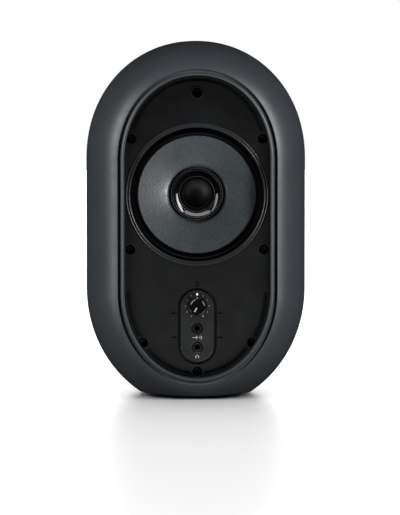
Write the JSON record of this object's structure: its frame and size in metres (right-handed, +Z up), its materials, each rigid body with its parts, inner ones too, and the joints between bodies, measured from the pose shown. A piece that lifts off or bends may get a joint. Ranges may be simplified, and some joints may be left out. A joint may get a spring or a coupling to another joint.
{
  "type": "bookshelf speaker",
  "caption": "Compact active two-way desktop speaker: pill-shaped cabinet on a flat base, recessed baffle, coaxial driver, control pod with volume knob and jacks, ported rear connector panel.",
  "frame": {"origin": "centre of the bounding box's bottom face, on the surface the speaker stands on", "axes": "+Z up, -Y is the front that faces the listener, +X is the listener's right; the driver's axis and the cone's travel lie along Y"},
  "size_m": [0.153, 0.124, 0.247],
  "materials": {
    "shell": "fine satin moulded plastic",
    "baffle": "fine matt moulded plastic",
    "pod": "satin moulded plastic",
    "gloss": "polished black plastic",
    "black": "smooth black plastic",
    "rubber": "matt rubber",
    "cone": "coated felted paper",
    "dome": "doped fabric",
    "foam": "open-cell foam",
    "board": "solder-masked circuit board",
    "led": "clear white light pipe",
    "red": "moulded red plastic",
    "white": "moulded white plastic",
    "phenolic": "amber treated cloth and phenolic sheet",
    "copper": "enamelled copper wire",
    "steel": "plated steel",
    "black_steel": "black coated steel",
    "aluminium": "extruded aluminium",
    "ferrite": "ground ferrite",
    "wire": "insulated lead"
  },
  "bodies": {
    "cabinet": {"amplifier_board": "board", "aux_jack": "black", "baffle_gasket": "foam", "baffle_screw_1": "black_steel", "baffle_screw_2": "black_steel", "baffle_screw_3": "black_steel", "baffle_screw_4": "black_steel", "baffle_screw_5": "black_steel", "baffle_screw_6": "black_steel", "baffle_screw_7": "black_steel", "baffle_screw_8": "black_steel", "balanced_jack_left": "black", "balanced_jack_right": "black", "cabinet_shell": "shell", "control_board": "board", "control_panel": "pod", "control_ribbon": "wire", "damping_foam": "foam", "driver_lead": "wire", "driver_screw_1": "black_steel", "driver_screw_2": "black_steel", "driver_screw_3": "black_steel", "driver_screw_4": "black_steel", "ferrite_magnet": "ferrite", "front_baffle": "baffle", "front_pole_plate": "steel", "headphone_jack": "black", "heat_sink": "aluminium", "magnet_yoke": "steel", "mains_inlet": "black", "phono_jack_red": "red", "phono_jack_white": "white", "port_tube": "black", "power_led": "led", "power_transformer": "copper", "rear_panel": "baffle", "rear_screw_1": "black_steel", "rear_screw_2": "black_steel", "rear_screw_3": "black_steel", "rear_screw_4": "black_steel", "rubber_foot": "rubber", "switch_housing": "black", "terminal_block": "black", "terminal_strip": "phenolic", "tweeter_housing": "gloss", "tweeter_magnet": "steel", "tweeter_post": "aluminium", "volume_potentiometer": "steel", "woofer_basket": "black_steel", "woofer_spider": "phenolic", "woofer_surround": "rubber"},
    "volume_control": {"volume_knob": "gloss", "potentiometer_shaft": "aluminium"},
    "woofer_diaphragm": {"woofer_cone": "cone", "voice_coil_former": "phenolic", "voice_coil_winding": "copper"},
    "tweeter_diaphragm": {"tweeter_dome": "dome"},
    "power_rocker": {"switch_rocker": "black"},
    "red_lever": {"terminal_lever_red": "red"},
    "black_lever": {"terminal_lever_black": "black"}
  },
  "joints": [
    {"name": "volume_turn", "type": "hinge", "parent": "cabinet", "child": "volume_control", "pos_m": [0, -0.056, 0.0645], "axis": [0, 1, 0], "range_deg": [0, 300]},
    {"name": "woofer_travel", "type": "slide", "parent": "cabinet", "child": "woofer_diaphragm", "axis": [0, -1, 0], "range_m": [-0.0025, 0.0025], "stiffness_N_per_m": 900, "deforming": ["woofer_surround", "woofer_spider"]},
    {"name": "tweeter_travel", "type": "slide", "parent": "cabinet", "child": "tweeter_diaphragm", "axis": [0, -1, 0], "range_m": [-0.0003, 0.0003], "stiffness_N_per_m": 100},
    {"name": "power_tip", "type": "hinge", "parent": "cabinet", "child": "power_rocker", "pos_m": [-0.0145, 0.0494, 0.071], "axis": [1, 0, 0], "range_deg": [0, 16]},
    {"name": "red_lever_press", "type": "hinge", "parent": "cabinet", "child": "red_lever", "pos_m": [0.0082, 0.0541, 0.1375], "axis": [-1, 0, 0], "range_deg": [0, 22], "stiffness_Nm_per_rad": 0.02, "springref_deg": -5.73},
    {"name": "black_lever_press", "type": "hinge", "parent": "cabinet", "child": "black_lever", "pos_m": [-0.0082, 0.0541, 0.1375], "axis": [-1, 0, 0], "range_deg": [0, 22], "stiffness_Nm_per_rad": 0.02, "springref_deg": -5.73}
  ]
}
